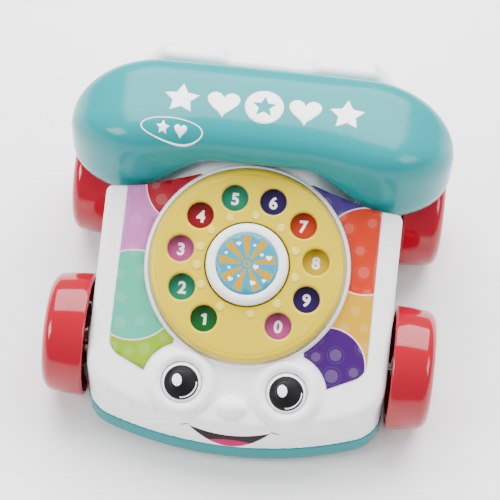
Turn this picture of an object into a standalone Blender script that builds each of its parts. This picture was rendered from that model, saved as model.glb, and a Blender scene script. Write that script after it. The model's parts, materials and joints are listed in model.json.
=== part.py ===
"""Pull-along toy telephone: a wedge body with a face, a rotary dial, a lift-off handset and four wheels.

Sizes are in millimetres and MM turns them into Blender's metres. X runs to the right, Y to the back and
Z up. The origin lies on the floor under the middle of the toy.
"""

import math

import bmesh
import bpy
from mathutils import Matrix, Vector

MM = 0.001
GAP = 0.3  # between pieces that touch or are glued
WALL = 2.4  # moulded wall of the body, base and handset

# Wheels and axles
WHEEL_RADIUS = 32.5
WHEEL_WIDTH = 22.0
WHEEL_INNER_X = 79.5
FRONT_AXLE_Y = -43.0
REAR_AXLE_Y = 59.5
AXLE_RADIUS = 2.0
AXLE_HALF_LENGTH = 96.0
AXLE_Z = WHEEL_RADIUS
WHEEL_STEPS = 24

# Body in plan
BODY_HALF_WIDTH = 77.8
FRONT_Y = -93.0
REAR_Y = 93.0
FRONT_ARC = 190.0
FRONT_CORNER = 20.0
REAR_CORNER = 16.0
SHELL_INSET = 0.8  # the white shell stands back this far from the base's edge

# Body in height
FLOOR_Z = 10.0
SKIRT_Z = 6.6  # lower edge of the rim round the underside
SEAM_Z = 18.0
CREASE = (-91.0, 40.0)  # y and z of the edge where the front wall meets the face
FACE_SLOPE = 25.0
SADDLE_Z = 95.0  # flat bed of the handset cradle
TOWER_Y = 79.5  # front of the raised back of the cradle
CRADLE_FRONT = ((34, 23.5), (46, 20.4), (54, 18.0), (62, 16.6), (78, 15.4), (110, 15.4))  # x and y of its front edge
LOBE_Z = 121.0
LOBE_NOTCH_Z = 116.5

# Dial, measured in the sloping face: distance up the face from the crease, heights above it
DIAL_UP = 82.0
DIAL_RADIUS = 50.5
HOLE_CIRCLE = 35.4
HOLE_RADIUS = 6.9
HOLE_PLACES = 11  # ten finger holes and one blank place at the bottom
SLEEVE_RADIUS = 11.0
SPINDLE_RADIUS = 8.0
SPINDLE_BORE = 4.6
BUTTON_RADIUS = 21.3
STEM_END = -15.0

# Face features
EYE_X = 27.0
EYE_UP = 18.8
EYE_RADIUS = 12.3
EYE_SINK = 5.2  # the eyeball's centre lies this far under the face
EYE_SHAFT = 1.2
EYE_BORE = EYE_SHAFT + GAP
SOCKET_BORE = 12.6
SOCKET_RADIUS = 16.6
NOSE_UP = 8.6

# Handset
HANDSET_Y = 52.0
HANDSET_Z = 112.0
HANDSET_HALF_LENGTH = 101.2
HANDSET_HALF_WIDTH = 27.0
HANDSET_HALF_HEIGHT = 16.0
CUP_DROP = 27.5
CUP_FLARE = 8.0  # how much further forward the cups reach than the grip
CUP_START = 30.0
CUP_END = 68.0
MOUTH_X = 80.0  # middle of each cup's mouth
CAP_START = 52.0  # the ends begin to round off here
CAP_POWER = 2.0
MOUTH_POWER = 6.0  # the underside stays flat further out than the top does
SECTION_POWER = 2.7
CUP_SQUARENESS = 1.3  # added to that power at the cups
HANDSET_SCREW_X = 23.0
COVER_DEPTH = 7.0  # height of the handset's lower cover above its underside

# Battery compartment and electronics
BOX_CENTRE_Y = 11.5
BOX_HALF_X = 29.0
BOX_HALF_Y = 27.0
CELLS_Y = 8.0
DOOR_SCREW_Y = 34.5
BOX_TOP_Z = 31.0
CELL_RADIUS = 7.1
CELL_LENGTH = 49.5
CELL_PITCH = 15.0
BOARD_TOP = -19.0
SPEAKER_Y = -66.0
SPEAKER_RADIUS = 17.0
SWITCH_AT = (46.0, 10.0)

ALONG_X = (90, 0, 90)  # turns an outline drawn in X and Y into the Y-Z plane
ALONG_Y = (90, 0, 0)  # turns an outline drawn in X and Y into the X-Z plane


# ---------------------------------------------------------------- tools


def clear_scene():
    for item in list(bpy.data.objects):
        bpy.data.objects.remove(item)


def collection(name):
    made = bpy.data.collections.new(name)
    bpy.context.scene.collection.children.link(made)
    return made


def material(name, colour, roughness=0.35, metallic=0.0):
    made = bpy.data.materials.new(name)
    made.use_nodes = True
    shader = made.node_tree.nodes["Principled BSDF"]
    shader.inputs["Base Color"].default_value = (*colour, 1.0)
    shader.inputs["Roughness"].default_value = roughness
    shader.inputs["Metallic"].default_value = metallic
    return made


def add(name, data, finish=None, at=(0, 0, 0), turn=(0, 0, 0), parent=None):
    """Puts a mesh or curve in the scene. With no finish it is a cutter, which isn't part of the toy."""
    made = bpy.data.objects.new(name, data)
    made.location = Vector(at) * MM
    made.rotation_euler = [math.radians(angle) for angle in turn]
    made.parent = parent
    if finish:
        TOY.objects.link(made)
        data.materials.append(finish)
    else:
        CUTTERS.objects.link(made)
        made.hide_render = True
        made.display_type = "WIRE"
    return made


def mesh_from(name, bm):
    data = bpy.data.meshes.new(name)
    bm.to_mesh(data)
    bm.free()
    return data


def box(name, size, finish=None, **place):
    bm = bmesh.new()
    bmesh.ops.create_cube(bm, size=1.0)
    bmesh.ops.scale(bm, vec=Vector(size) * MM, verts=bm.verts)
    return add(name, mesh_from(name, bm), finish, **place)


def cylinder(name, radius, low, high, finish=None, sides=16, **place):
    """A cylinder about local Z, from low to high."""
    bm = bmesh.new()
    depth = (high - low) * MM
    middle = Matrix.Translation((0, 0, (low + high) / 2 * MM))
    bmesh.ops.create_cone(
        bm, cap_ends=True, segments=sides, radius1=radius * MM, radius2=radius * MM, depth=depth, matrix=middle
    )
    return smooth(add(name, mesh_from(name, bm), finish, **place))


def ball(name, radius, finish=None, rings=(16, 10), **place):
    bm = bmesh.new()
    bmesh.ops.create_uvsphere(bm, u_segments=rings[0], v_segments=rings[1], radius=radius * MM)
    return smooth(add(name, mesh_from(name, bm), finish, **place))


def smooth(item):
    item.data.shade_smooth()
    item.data.set_sharp_from_angle(angle=math.radians(35))
    return item


def turned(name, profile, finish=None, steps=32, ring=False, **place):
    """A turned piece about local Z. The profile's points are (radius, z), down the outer side."""
    bm = bmesh.new()
    points = [bm.verts.new((r * MM, 0, z * MM)) for r, z in profile]
    pairs = list(zip(points, points[1:]))
    if ring:
        pairs.append((points[-1], points[0]))
    for pair in pairs:
        bm.edges.new(pair)
    made = add(name, mesh_from(name, bm), finish, **place)
    screw = made.modifiers.new("turn", "SCREW")
    screw.steps = steps
    screw.render_steps = steps
    screw.use_merge_vertices = True
    screw.merge_threshold = 0.00001
    screw.use_smooth_shade = True
    return made


def slab(name, outlines, low, high, finish=None, **place):
    """A flat piece from low to high along local Z. The first outline is its edge and the others are holes."""
    flat = bpy.data.curves.new(name, "CURVE")
    flat.dimensions = "2D"
    flat.fill_mode = "BOTH"
    flat.extrude = (high - low) / 2 * MM
    for outline in outlines:
        spline = flat.splines.new("POLY")
        spline.points.add(len(outline) - 1)
        spline.use_cyclic_u = True
        for point, (x, y) in zip(spline.points, outline):
            point.co = (x * MM, y * MM, 0, 1)
    holder = bpy.data.objects.new(name, flat)
    CUTTERS.objects.link(holder)
    seen = holder.evaluated_get(bpy.context.evaluated_depsgraph_get())
    data = bpy.data.meshes.new_from_object(seen)
    bpy.data.objects.remove(holder)
    bm = bmesh.new()
    bm.from_mesh(data)
    bmesh.ops.remove_doubles(bm, verts=bm.verts, dist=0.00001)
    bmesh.ops.translate(bm, verts=bm.verts, vec=(0, 0, (low + high) / 2 * MM))
    bmesh.ops.recalc_face_normals(bm, faces=bm.faces)
    bm.to_mesh(data)
    bm.free()
    data.name = name
    return add(name, data, finish, **place)


def combine(target, operation, *others):
    for other in others:
        step = target.modifiers.new(other.name, "BOOLEAN")
        step.operation = operation
        step.object = other
        step.solver = "EXACT"
    return target


def cut(target, *cutters):
    return combine(target, "DIFFERENCE", *cutters)


def join(target, *pieces):
    return combine(target, "UNION", *pieces)


def axis(name, at, turn=(0, 0, 0)):
    """An empty that moving pieces hang on."""
    empty = bpy.data.objects.new(name, None)
    empty.location = Vector(at) * MM
    empty.rotation_euler = [math.radians(angle) for angle in turn]
    empty.empty_display_size = 10 * MM
    TOY.objects.link(empty)
    return empty


def arc(centre, radius, start, end, steps):
    """Points along an arc, angles in degrees."""
    angles = [math.radians(start + (end - start) * i / steps) for i in range(steps + 1)]
    return [(centre[0] + radius * math.cos(a), centre[1] + radius * math.sin(a)) for a in angles]


def circle(centre, radius, steps):
    return arc(centre, radius, 0, 360, steps)[:-1]


def rectangle(centre, half_x, half_y):
    x, y = centre
    return [(x - half_x, y - half_y), (x + half_x, y - half_y), (x + half_x, y + half_y), (x - half_x, y + half_y)]


def mirrored(half):
    """The whole outline of a right half that runs from the front to the back."""
    return half + [(-x, y) for x, y in reversed(half) if abs(x) > 0.001]


# ---------------------------------------------------------------- shared shapes


def on_face(up, height=0.0):
    """Y and Z of a point on the sloping face, up from the crease and height above the face."""
    slope = math.radians(FACE_SLOPE)
    y = CREASE[0] + up * math.cos(slope) - height * math.sin(slope)
    z = CREASE[1] + up * math.sin(slope) + height * math.cos(slope)
    return y, z


def body_plan(inset):
    """The body from above: a bowed front, straight sides and round corners."""
    middle_y = FRONT_Y + FRONT_ARC
    across = BODY_HALF_WIDTH - FRONT_CORNER
    reach = FRONT_ARC - FRONT_CORNER
    corner_y = middle_y - math.sqrt(reach**2 - across**2)
    bow = math.degrees(math.asin(across / reach))
    rear = (BODY_HALF_WIDTH - REAR_CORNER, REAR_Y - REAR_CORNER)
    front = arc((0, middle_y), FRONT_ARC - inset, -90, -90 + bow, 6)
    corner = arc((across, corner_y), FRONT_CORNER - inset, -90 + bow, 0, 5)[1:]
    return mirrored(front + corner + arc(rear, REAR_CORNER - inset, 0, 90, 4))


def body_side(inset):
    """The body from the side: the sloping face, the flat saddle and the raised back."""
    slope = math.tan(math.radians(FACE_SLOPE))
    lift = inset / math.cos(math.radians(FACE_SLOPE))
    saddle = SADDLE_Z + 1 - inset  # the cradle's cut takes this last millimetre off

    def face_z(y):
        return CREASE[1] + (y - CREASE[0]) * slope - lift

    far = 2 * REAR_Y
    face_end = CREASE[0] + (saddle + lift - CREASE[1]) / slope
    tower = TOWER_Y + inset
    top = LOBE_Z - inset
    return [
        (-far, 0),
        (-far, face_z(-far)),
        (face_end, saddle),
        (tower, saddle),
        (tower, top - 4),
        (tower + 3, top),
        (far, top),
        (far, 0),
    ]


def cup_drop(x):
    """How far the handset's underside lies under its middle, at x."""
    t = min(1.0, max(0.0, (abs(x) - CUP_START) / (CUP_END - CUP_START)))
    return CUP_DROP * t * t * (3 - 2 * t)


def handset_stations(inset=0.0):
    """X positions from the middle to the tip, closer together where the underside drops and the end rounds."""
    reach = HANDSET_HALF_LENGTH - inset
    drop = [CUP_START + (CUP_END + 2 - CUP_START) * i / 8 for i in range(9)]
    end = [drop[-1] + (reach - drop[-1]) * math.sin(math.pi / 2 * i / 6) for i in range(1, 7)]
    return [0, CUP_START / 2, *drop, *end]


def arch_outline(reach, base):
    """The space above an arch that follows the handset's underside, from base at the middle."""
    half = handset_stations()
    xs = [-reach, *[-x for x in reversed(half)], *half[1:], reach]
    return [(x, base - cup_drop(x)) for x in xs] + [(reach, 170), (-reach, 170)]


def tower_outline(inset):
    """What is cut from the raised back: the notch between two lobes, and the corners outside them."""
    low = LOBE_NOTCH_Z - inset
    high = LOBE_Z - inset
    half = [(0, low), (22, low), (25, high), (25, 170)]
    corner_x = 56 - inset
    outside = [(corner_x, 170), (corner_x, high), (corner_x + 12, high - 16), (corner_x + 26, high - 37), (110, high - 37), (110, 170)]
    return mirrored_up(half), outside


def mirrored_up(half):
    return half + [(-x, y) for x, y in reversed(half) if abs(x) > 0.001]


def body_blank(name, inset, base, finish=None):
    """The body as a solid block, its sides inset. The shell is one of these less a smaller one."""
    block = slab(name, [body_plan(SHELL_INSET + inset)], base, LOBE_Z + 5, finish)
    side = slab(name + "_side", [body_side(inset)], -100, 100, turn=ALONG_X)
    combine(block, "INTERSECT", side)
    arch = arch_outline(109, SADDLE_Z - inset)
    saddle = slab(name + "_saddle", [arch], -TOWER_Y - inset, 0, turn=ALONG_Y)
    front = [(x, y - inset) for x, y in CRADLE_FRONT]
    plan = [(-x, y) for x, y in reversed(front)] + front + [(110, 130), (-110, 130)]
    combine(saddle, "INTERSECT", slab(name + "_saddle_plan", [plan], 20, 165))
    notch, corner = tower_outline(inset)
    other_corner = [(-x, z) for x, z in reversed(corner)]
    back = (-130, -TOWER_Y + 0.5)
    trims = [
        slab(f"{name}_trim_{i}", [outline], *back, turn=ALONG_Y)
        for i, outline in enumerate((notch, corner, other_corner))
    ]
    return cut(block, saddle, *trims)


# ---------------------------------------------------------------- body


SCREW_POSTS = [(sx * x, y) for x, y in ((56, -66), (66, 12), (30, 77)) for sx in (1, -1)]
BEARING_X = 64.0  # middle of the axle bearings, from the centre line


def make_body_shell():
    shell = body_blank("body_shell", 0, SEAM_Z + GAP, WHITE)
    cavity = body_blank("shell_cavity", WALL, FLOOR_Z - 5)
    rims = []
    for side in (-1, 1):
        socket = [(SOCKET_BORE - 0.4, 1.2), (SOCKET_BORE + 0.8, 2.9), (15, 2.6), (SOCKET_RADIUS, 0.6), (SOCKET_RADIUS, -1.2), (SOCKET_BORE - 0.4, -1.2)]
        y, z = on_face(EYE_UP)
        rims.append(turned(f"socket_{side}", socket, steps=24, ring=True, at=(side * EYE_X, y, z), turn=(FACE_SLOPE, 0, 0)))
    y, z = on_face(DIAL_UP)
    kerb = [(51.3, 1.3), (52.3, 1.3), (52.9, 0.6), (52.9, -6.0), (51.3, -6.0)]
    rims.append(turned("dial_kerb", kerb, steps=40, ring=True, at=(0, y, z), turn=(FACE_SLOPE, 0, 0)))
    nose = ball("nose", 1.0, rings=(16, 8), at=(0, *on_face(NOSE_UP, -0.6)), turn=(FACE_SLOPE, 0, 0))
    for vertex in nose.data.vertices:
        vertex.co = (vertex.co.x * 8.0, vertex.co.y * 5.2, vertex.co.z * 3.8)
    join(shell, *rims, nose)
    posts = [cylinder(f"post_{i}", 4.2, SEAM_Z + 3, LOBE_Z, sides=10, at=(x, y, 0)) for i, (x, y) in enumerate(SCREW_POSTS)]
    for axle_y in (FRONT_AXLE_Y, REAR_AXLE_Y):
        low = AXLE_Z + AXLE_RADIUS + 0.35
        for side in (-1, 1):
            rib = box("axle_rib", (3, 11, LOBE_Z - low), at=(side * BEARING_X, axle_y, (LOBE_Z + low) / 2))
            posts.append(rib)
    for post in posts:
        combine(post, "INTERSECT", SHELL_ENVELOPE)
    cut(shell, cavity)
    join(shell, *posts)
    cutters = [cylinder("sleeve_hole", SLEEVE_RADIUS + 0.6, -8, 8, sides=24, at=(0, y, z), turn=(FACE_SLOPE, 0, 0))]
    for side in (-1, 1):
        y, z = on_face(EYE_UP)
        place = dict(at=(side * EYE_X, y, z), turn=(FACE_SLOPE, 0, 0))
        cutters.append(cylinder(f"eye_hole_{side}", SOCKET_BORE, -8, 12, sides=24, **place))
    for name, axle_y in (("front", FRONT_AXLE_Y), ("rear", REAR_AXLE_Y)):
        low = SEAM_Z - 5
        arch = arc((axle_y, AXLE_Z), 3.2, 0, 180, 6)
        slot = [(axle_y - 3.2, low), (axle_y + 3.2, low), *arch]
        cutters.append(slab(f"axle_slot_{name}", [slot], -100, 100, turn=ALONG_X))
    cut(shell, *cutters)
    for i, (x, y) in enumerate(SCREW_POSTS):
        cut(shell, cylinder(f"post_bore_{i}", 1.7, SEAM_Z, SEAM_Z + 16, sides=8, at=(x, y, 0)))
    return shell


def make_base():
    pan = slab("base_pan", [body_plan(0)], FLOOR_Z, SEAM_Z, TEAL)
    inside = SHELL_INSET + WALL + GAP
    hollow = slab("base_hollow", [body_plan(inside + 0.5)], FLOOR_Z + WALL, SEAM_Z + 9)
    lip = slab("base_lip", [body_plan(inside), body_plan(inside + 1.6)], SEAM_Z - 3, SEAM_Z + 3)
    cut(pan, hollow)
    skirt = slab("base_skirt", [body_plan(0.3), body_plan(3.2)], SKIRT_Z, FLOOR_Z + 1)
    join(pan, lip, skirt)
    walls = slab("battery_walls", [rectangle((0, BOX_CENTRE_Y), BOX_HALF_X + 2, BOX_HALF_Y + 2)], FLOOR_Z + 1, BOX_TOP_Z)
    join(pan, walls)
    for name, axle_y in (("front", FRONT_AXLE_Y), ("rear", REAR_AXLE_Y)):
        for side in (-1, 1):
            place = dict(at=(side * BEARING_X, axle_y, (AXLE_Z + FLOOR_Z + 1) / 2))
            join(pan, box(f"bearing_{name}_{side}", (7, 15, AXLE_Z - FLOOR_Z - 1), **place))
        cut(pan, cylinder(f"saddle_{name}", AXLE_RADIUS + 0.35, -90, 90, sides=16, at=(0, axle_y, AXLE_Z), turn=(0, 90, 0)))
    cutters = [slab("battery_space", [rectangle((0, BOX_CENTRE_Y), BOX_HALF_X, BOX_HALF_Y)], FLOOR_Z - 5, BOX_TOP_Z - 2)]
    for i, (x, y) in enumerate(SCREW_POSTS):
        join(pan, cylinder(f"base_post_{i}", 4.2, FLOOR_Z + 1, SEAM_Z + 3 - GAP, sides=10, at=(x, y, 0)))
        cutters.append(cylinder(f"screw_way_{i}", 1.9, FLOOR_Z - 5, SEAM_Z + 9, sides=8, at=(x, y, 0)))
        cutters.append(cylinder(f"screw_head_way_{i}", 3.3, FLOOR_Z - 5, FLOOR_Z + 4, sides=10, at=(x, y, 0)))
    for ring, count in ((0, 1), (6, 6), (11.5, 10)):
        for i in range(count):
            angle = 2 * math.pi * i / count
            place = dict(at=(ring * math.cos(angle), SPEAKER_Y + ring * math.sin(angle), 0))
            cutters.append(cylinder(f"sound_hole_{ring}_{i}", 1.6, FLOOR_Z - 5, FLOOR_Z + 5, sides=8, **place))
    cutters.append(slab("switch_slot", [rectangle(SWITCH_AT, 3.6, 6.4)], FLOOR_Z - 5, FLOOR_Z + 5))
    cut(pan, *cutters)
    join(pan, box("door_screw_boss", (8, 8.5, 10), at=(0, 35, FLOOR_Z + 2.5 + 5)))
    return cut(pan, cylinder("door_screw_way", 1.6, FLOOR_Z, FLOOR_Z + 9, sides=10, at=(0, DOOR_SCREW_Y, 0)))


def screw(name, at, length, head=2.6, turn=(0, 0, 0)):
    """A screw whose head's outer face lies at the given point and whose shank runs along local +Z."""
    profile = [(0, length), (1.3, length - 1), (1.3, 1.6), (head, 1.6), (head, 0), (0, 0)]
    return turned(name, profile, STEEL, steps=8, at=at, turn=turn)


def make_fasteners():
    for i, (x, y) in enumerate(SCREW_POSTS):
        screw(f"case_screw_{i + 1}", (x, y, FLOOR_Z + 2.1), 16)


# ---------------------------------------------------------------- wheels and eye drive


def wheel_profile():
    """A cup-shaped wheel about its axle, z from the open inner side to the rounded outer face."""
    outer_face = [(0, 21.6), (7.0, 21.2), (9.5, 20.2), (19.0, 20.2), (22.5, 22.0)]
    tread = [(27.0, 21.4), (29.7, 19.4), (31.2, 15.5), (32.2, 8.0), (32.5, 0.6), (32.0, 0)]
    hollow = [(30.0, 0), (29.2, 16.0), (18.4, 18.0), (17.8, 2.0), (16.4, 2.0), (16.0, 18.0)]
    boss = [(6.2, 17.6), (5.4, 0.8), (2.35, 0.8), (2.35, 17.0), (0, 17.0)]
    return outer_face + tread + hollow + boss


def make_wheels():
    for name, axle_y in (("front", FRONT_AXLE_Y), ("rear", REAR_AXLE_Y)):
        spin = axis(f"{name}_axle_axis", (0, axle_y, AXLE_Z), (0, 90, 0))
        for label, side in (("left", -1), ("right", 1)):
            turn = (0, 0, 0) if side > 0 else (180, 0, 0)
            turned(
                f"wheel_{name}_{label}",
                wheel_profile(),
                RED,
                steps=WHEEL_STEPS,
                at=(0, 0, side * WHEEL_INNER_X),
                turn=turn,
                parent=spin,
            )
        cylinder(f"{name}_axle", AXLE_RADIUS, -AXLE_HALF_LENGTH, AXLE_HALF_LENGTH, STEEL, sides=12, parent=spin)


def make_eyes():
    cam = [circle((0, -0.8), 4.3, 24), circle((0, 0), AXLE_RADIUS + GAP, 12)]
    slab("eye_cam", cam, -3, 3, GREY, at=(0, FRONT_AXLE_Y, AXLE_Z), turn=ALONG_X)
    y, z = on_face(EYE_UP, -EYE_SINK)
    tilt = axis("eye_axis", (0, y, z))
    for label, side in (("left", -1), ("right", 1)):
        eye = ball(f"eyeball_{label}", EYE_RADIUS, WHITE, at=(side * EYE_X, 0, 0), turn=(90, 0, 0), parent=tilt)
        cut(eye, cylinder(f"eye_bore_{label}", EYE_BORE, -20, 20, sides=10, at=(side * EYE_X, 0, 0), turn=(0, 90, 0), parent=tilt))
    cylinder("eye_shaft", EYE_SHAFT, -45, 45, STEEL, sides=10, turn=(0, 90, 0), parent=tilt)
    arm = [*arc((0, 0), 2.6, 40, 320, 12), (24.0, -0.8), (30.0, -0.8), (30.0, 0.8), (24.0, 1.2)]
    slab("eye_lever", [arm, circle((0, 0), EYE_BORE, 10)], -2.2, 2.2, GREY, turn=ALONG_X, parent=tilt)
    for label, side in (("left", -1), ("right", 1)):
        foot = FLOOR_Z + WALL + GAP - z
        groove = arc((0, 0), EYE_BORE, 205, 335, 5)
        post = [(-6, foot), (6, foot), (5, foot + 6), (3.5, -0.7), *reversed(groove), (-3.5, -2.6), (-5, foot + 6)]
        slab(f"eye_bearing_{label}", [post], -1.5, 1.5, GREY, at=(side * 42.5, y, z), turn=ALONG_X)


# ---------------------------------------------------------------- dial and button


def make_dial():
    y, z = on_face(DIAL_UP)
    spin = axis("dial_axis", (0, y, z), (FACE_SLOPE, 0, 0))
    rim = [(46.0, 5.6), (49.3, 4.6), (50.5, 3.2), (50.5, 1.2), (47.5, 1.2), (47.5, 2.0)]
    well = [(SPINDLE_RADIUS + GAP, 3.2), (22.1, 3.2), (22.1, 7.3), (36.0, 6.8)]
    sleeve = [(SLEEVE_RADIUS, 2.0), (SLEEVE_RADIUS, -7.2), (SPINDLE_RADIUS + GAP, -7.2)]
    dial = turned("dial", well + rim + sleeve, YELLOW, steps=44, ring=True, parent=spin)
    for place in range(1, HOLE_PLACES):
        angle = math.radians(270 - 360 / HOLE_PLACES * place)
        at = (HOLE_CIRCLE * math.cos(angle), HOLE_CIRCLE * math.sin(angle), 0)
        cut(dial, cylinder(f"finger_hole_{place}", HOLE_RADIUS, -3, 12, sides=16, at=at, parent=spin))
    teeth = [(r * math.cos(math.pi * i / 22), r * math.sin(math.pi * i / 22)) for i in range(44) for r in [15.0 if i % 2 else 16.6]]
    slab("click_wheel", [teeth, circle((0, 0), SLEEVE_RADIUS + GAP, 24)], -7.0, -3.4, GREY, parent=spin)
    plate = [circle((0, 0), 44.0, 40), circle((0, 0), SLEEVE_RADIUS + 0.8, 24)]
    slab("number_plate", plate, GAP, GAP + 1.0, YELLOW, parent=spin)
    leaf = [(17.2, -15), (18.0, -15), (18.0, -3), (17.6, 0), (18.0, 3), (18.0, 14), (17.2, 14), (17.2, 2.5), (16.9, 0), (17.2, -2.5)]
    slab("click_leaf", [leaf], -7.0, -3.4, STEEL, parent=spin)
    flange = [(SPINDLE_RADIUS, 3.3), (SPINDLE_RADIUS, -7.7), (19.5, -7.7), (19.5, -10.2), (SPINDLE_BORE, -10.2), (SPINDLE_BORE, 3.3)]
    turned("dial_spindle", flange, GREY, steps=24, ring=True, parent=spin)
    slab("dial_retainer", [circle((0, 0), 12.5, 24), circle((0, 0), SPINDLE_BORE, 24)], 3.6, 4.8, STEEL, parent=spin)
    return spin


def make_button(spin):
    top = [(0, 10.0), (16.6, 10.0), (16.6, 10.6), (18.6, 10.5), (20.6, 9.4), (BUTTON_RADIUS, 7.8), (BUTTON_RADIUS, 5.4)]
    under = [(19.3, 5.4), (19.3, 7.4), (4.0, 7.4), (4.0, -11.0), (5.4, -11.4), (5.4, -12.2)]
    stem = [(4.0, -13.0), (4.0, STEM_END), (0, STEM_END)]
    turned("hub_button", top + under + stem, WHITE, steps=32, parent=spin)
    cylinder("hub_sticker", 16.2, 10.3, 10.6, TEAL, sides=32, parent=spin)
    box("circuit_board", (46, 34, 1.6), GREEN, at=(0, 0, BOARD_TOP - 0.8), parent=spin)
    box("button_switch", (6, 6, 1.4), GREY, at=(0, 0, BOARD_TOP + GAP + 0.7), parent=spin)
    box("sound_chip", (9, 7, 1.2), BLACK, at=(13, 4, BOARD_TOP + GAP + 0.6), parent=spin)


# ---------------------------------------------------------------- panels, battery box, speaker, switch


def panel_outline():
    """The right printed panel, in the plane of the face: x, and the distance up from the crease."""
    ring = 54.0
    inner = arc((0, DIAL_UP), ring, 59.5, -51.0, 14)
    around_eye = arc((EYE_X, EYE_UP), 21.0, 69, 13, 5)
    corner = arc((57.5, 37.5), 10.0, -62, 0, 4)
    top = [(66.3, 117.6), (62, 118.0), (54, 119.6), (46, 122.3), (36, 125.9), (33, 130.4), (29.8, 131.5)]
    return [*top, *inner, *around_eye, *corner]


def make_panels():
    y, z = on_face(0)
    for label, side in (("left", -1), ("right", 1)):
        outline = [(side * x, up) for x, up in panel_outline()]
        slab(f"printed_panel_{label}", [outline], GAP, GAP + 0.3, LILAC, at=(0, y, z), turn=(FACE_SLOPE, 0, 0))


def make_battery_box():
    edge = rectangle((0, BOX_CENTRE_Y), BOX_HALF_X - GAP, BOX_HALF_Y - GAP)
    slab("battery_door", [edge, circle((0, DOOR_SCREW_Y), 1.8, 10)], FLOOR_Z + 0.2, FLOOR_Z + 2.2, TEAL)
    middle_z = FLOOR_Z + 2.2 + GAP + CELL_RADIUS + 0.4
    for i in range(3):
        y = CELLS_Y + (i - 1) * CELL_PITCH
        cell = [(0, 24.75), (2.6, 24.75), (2.6, 23.6), (CELL_RADIUS, 23.6), (CELL_RADIUS, -24.75), (0, -24.75)]
        turn = (0, 90, 0) if i % 2 else (0, -90, 0)
        turned(f"battery_{i + 1}", cell, COPPER, steps=12, at=(0, y, middle_z), turn=turn)
    for i, (side, place, cells) in enumerate(((-1, -1, 1), (-1, 0.5, 2), (1, -0.5, 2), (1, 1, 1))):
        size = (0.5, 10 + CELL_PITCH * (cells - 1), 10)
        at = (side * (BOX_HALF_X - 1.2), CELLS_Y + place * CELL_PITCH, middle_z)
        box(f"battery_contact_{i + 1}", size, STEEL, at=at)
    screw("battery_door_screw", (0, DOOR_SCREW_Y, FLOOR_Z - 1.7), 9)


def make_speaker():
    base = FLOOR_Z + WALL + GAP
    frame = [(5.5, 6.4), (SPEAKER_RADIUS, 3.0), (SPEAKER_RADIUS, 0), (15.4, 0), (15.4, 1.8), (5.5, 5.2)]
    turned("speaker_frame", frame, STEEL, steps=20, ring=True, at=(0, SPEAKER_Y, base))
    cone = [(0, 3.4), (4.5, 3.4), (15.0, 1.3), (15.0, 0.8), (4.5, 2.9), (0, 2.9)]
    turned("speaker_cone", cone, BLACK, steps=20, at=(0, SPEAKER_Y, base))
    cylinder("speaker_magnet", 8.5, 6.7, 11.5, STEEL, sides=20, at=(0, SPEAKER_Y, base))


def make_power_switch():
    x, y = SWITCH_AT
    body = slab("power_switch_body", [rectangle((x, y), 5.5, 9.0)], FLOOR_Z + WALL + GAP, FLOOR_Z + 9, GREY)
    cut(body, slab("switch_space", [rectangle((x, y), 3.6, 6.4)], FLOOR_Z, FLOOR_Z + 6))
    knob = box("power_switch_knob", (5.0, 6.0, 4.0), BLACK, at=(x, y - 2, FLOOR_Z + 0.5 + 2))
    return knob


# ---------------------------------------------------------------- handset


def cap_share(x, inset, power=CAP_POWER):
    """How much of its full section the handset keeps at x: 1 along the bar, 0 at the tip."""
    reach = HANDSET_HALF_LENGTH - inset
    t = (abs(x) - CAP_START) / (reach - CAP_START)
    if t <= 0:
        return 1.0
    return max(0.0, 1 - t**power) ** (1 / power)


def handset_section(x, inset, points=16):
    """Y and Z of the handset's section at x, about the handset's middle."""
    share = cap_share(x, inset)
    top = HANDSET_HALF_HEIGHT
    bottom = -HANDSET_HALF_HEIGHT - cup_drop(x)
    middle = -6.0 - 0.5 * cup_drop(x)  # the ends close towards this height
    high = middle + (top - inset - middle) * share
    low = middle + (bottom + inset - middle) * cap_share(x, inset, MOUTH_POWER)
    flare = CUP_FLARE * cup_drop(x) / CUP_DROP * share
    power = SECTION_POWER + CUP_SQUARENESS * cup_drop(x) / CUP_DROP
    wide = (HANDSET_HALF_WIDTH - inset) * share + flare / 2
    centre, half = (high + low) / 2, (high - low) / 2
    found = []
    for i in range(points):
        a = 2 * math.pi * (i + 0.5) / points
        c, s = math.cos(a), math.sin(a)
        y = wide * math.copysign(abs(c) ** (2 / power), c) - flare / 2
        z = centre + half * math.copysign(abs(s) ** (2 / power), s)
        found.append((y, z))
    return found


def handset_blank(name, inset, finish=None):
    """The handset as a solid loft of rounded sections, closed at each tip."""
    bm = bmesh.new()
    half = handset_stations(inset)
    rings = []
    for x in [-x for x in reversed(half)][1:] + half[1:-1]:
        rings.append([bm.verts.new((x * MM, y * MM, z * MM)) for y, z in handset_section(x, inset)])
    for ring, following in zip(rings, rings[1:]):
        count = len(ring)
        for i in range(count):
            j = (i + 1) % count
            bm.faces.new((ring[i], ring[j], following[j], following[i]))
    for side, ring in ((-1, rings[0]), (1, rings[-1])):
        middle_z = sum(v.co.z for v in ring) / len(ring)
        tip = bm.verts.new((side * half[-1] * MM, 0, middle_z))
        for i in range(len(ring)):
            bm.faces.new((tip, ring[i], ring[(i + 1) % len(ring)]))
    bmesh.ops.recalc_face_normals(bm, faces=bm.faces)
    made = add(name, mesh_from(name, bm), finish, at=(0, HANDSET_Y, HANDSET_Z))
    return smooth(made)


def below_seam(name, drop):
    """The space under the seam between the handset's two shells, which follows the underside."""
    top = [(x, z) for x, z in arch_outline(105, HANDSET_Z - HANDSET_HALF_HEIGHT + COVER_DEPTH - drop)[:-2]]
    outline = top + [(105, 0), (-105, 0)]
    return slab(name, [outline], -HANDSET_Y - 40, -HANDSET_Y + 40, turn=ALONG_Y)


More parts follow.
